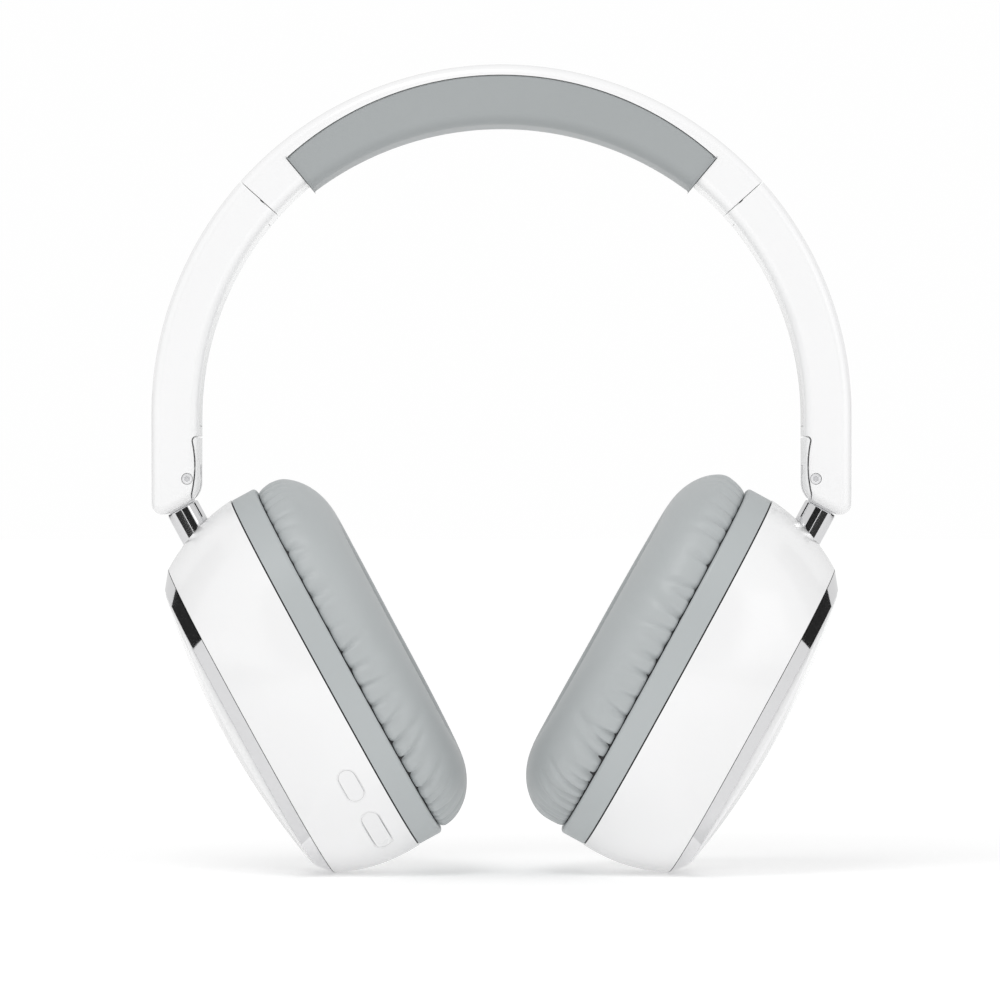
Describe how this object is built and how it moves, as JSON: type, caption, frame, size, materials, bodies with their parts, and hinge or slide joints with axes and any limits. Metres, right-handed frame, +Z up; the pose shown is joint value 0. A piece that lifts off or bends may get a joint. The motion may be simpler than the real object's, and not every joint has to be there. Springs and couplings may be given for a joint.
{
  "type": "over ear headphones",
  "caption": "Folding over ear headphones: a round headband with sliding arms, hinges and swivels that carry padded oval ear cups with push buttons and a headphone socket.",
  "frame": {"origin": "on the floor under the middle of the headphones, which stand on the rims of their cups", "axes": "+Z up to the crown of the headband; +X to the viewer's right, across the two cups; +Y to the back"},
  "size_m": [0.1638, 0.075, 0.189],
  "materials": {
    "shell_white": "white, soft gloss",
    "pad_leather": "grey synthetic leather, fine grain",
    "cushion_leather": "light grey synthetic leather, soft sheen",
    "inner_plastic": "black, matte",
    "grey_plastic": "pale grey, satin",
    "button_plastic": "white, satin",
    "spring_steel": "cold rolled",
    "screw_steel": "machined",
    "magnet_steel": "plated",
    "bright_chrome": "polished",
    "film": "clear dark film",
    "speaker_cloth": "fine knitted cloth",
    "circuit_board": "green laminate",
    "battery_foil": "foil pouch"
  },
  "bodies": {
    "headband": {"headband_shell": "shell_white", "headband_pad": "pad_leather", "headband_liner": "inner_plastic", "headband_spring": "spring_steel", "strip_guide_left": "inner_plastic", "strip_guide_right": "inner_plastic", "detent_spring_left": "spring_steel", "detent_spring_right": "spring_steel", "liner_screw_left": "screw_steel", "liner_screw_right": "screw_steel"},
    "arm_left": {"slider_strip_left": "spring_steel", "strip_screw_left": "screw_steel", "arm_shell_left": "shell_white", "arm_inner_cover_left": "shell_white", "hinge_cover_left": "shell_white", "hinge_screw_left": "screw_steel"},
    "hinge_left": {"hinge_knuckle_left": "screw_steel", "swivel_stem_left": "bright_chrome", "stem_clip_left": "spring_steel"},
    "cup_left": {"cup_shell_left": "shell_white", "stem_bush_left": "inner_plastic", "trim_ring_left": "bright_chrome", "cup_cover_left": "shell_white", "baffle_left": "grey_plastic", "driver_frame_left": "inner_plastic", "driver_magnet_left": "magnet_steel", "diaphragm_left": "film", "driver_grille_left": "speaker_cloth", "cushion_ring_left": "inner_plastic", "ear_cushion_left": "cushion_leather", "main_board": "circuit_board", "switch_upper": "inner_plastic", "switch_lower": "inner_plastic"},
    "arm_right": {"slider_strip_right": "spring_steel", "strip_screw_right": "screw_steel", "arm_shell_right": "shell_white", "arm_inner_cover_right": "shell_white", "hinge_cover_right": "shell_white", "hinge_screw_right": "screw_steel"},
    "hinge_right": {"hinge_knuckle_right": "screw_steel", "swivel_stem_right": "bright_chrome", "stem_clip_right": "spring_steel"},
    "cup_right": {"cup_shell_right": "shell_white", "stem_bush_right": "inner_plastic", "trim_ring_right": "bright_chrome", "cup_cover_right": "shell_white", "baffle_right": "grey_plastic", "driver_frame_right": "inner_plastic", "driver_magnet_right": "magnet_steel", "diaphragm_right": "film", "driver_grille_right": "speaker_cloth", "cushion_ring_right": "inner_plastic", "ear_cushion_right": "cushion_leather", "power_board": "circuit_board", "battery": "battery_foil", "aux_jack": "inner_plastic", "usb_socket": "screw_steel"},
    "button_upper": {"button_upper": "button_plastic"},
    "button_lower": {"button_lower": "button_plastic"}
  },
  "joints": [
    {"name": "arm_slide_left", "type": "hinge", "parent": "headband", "child": "arm_left", "pos_m": [0.06283, 0, 0.03589], "axis": [0, -1, 0], "range_deg": [0, 8.4]},
    {"name": "fold_left", "type": "hinge", "parent": "arm_left", "child": "hinge_left", "pos_m": [-0.0735, 0, 0.09235], "axis": [0, -1, 0], "range_deg": [0, 75]},
    {"name": "swivel_left", "type": "hinge", "parent": "hinge_left", "child": "cup_left", "pos_m": [-0.07751, 0, 0.09016], "axis": [0.4802, 0, -0.8771], "range_deg": [-15, 90]},
    {"name": "arm_slide_right", "type": "hinge", "parent": "headband", "child": "arm_right", "pos_m": [-0.06283, 0, 0.03589], "axis": [0, 1, 0], "range_deg": [0, 8.4]},
    {"name": "fold_right", "type": "hinge", "parent": "arm_right", "child": "hinge_right", "pos_m": [0.0735, 0, 0.09235], "axis": [0, -1, 0], "range_deg": [-75, 0]},
    {"name": "swivel_right", "type": "hinge", "parent": "hinge_right", "child": "cup_right", "pos_m": [0.07751, 0, 0.09016], "axis": [0.4802, 0, 0.8771], "range_deg": [-15, 90]},
    {"name": "button_upper_press", "type": "slide", "parent": "cup_left", "child": "button_upper", "axis": [-0.17, 0.9353, 0.3104], "range_m": [0, 0.0005], "stiffness_N_per_m": 1500, "springref_m": -0.0002},
    {"name": "button_lower_press", "type": "slide", "parent": "cup_left", "child": "button_lower", "axis": [-0.3589, 0.6644, 0.6556], "range_m": [0, 0.0005], "stiffness_N_per_m": 1500, "springref_m": -0.0002}
  ]
}
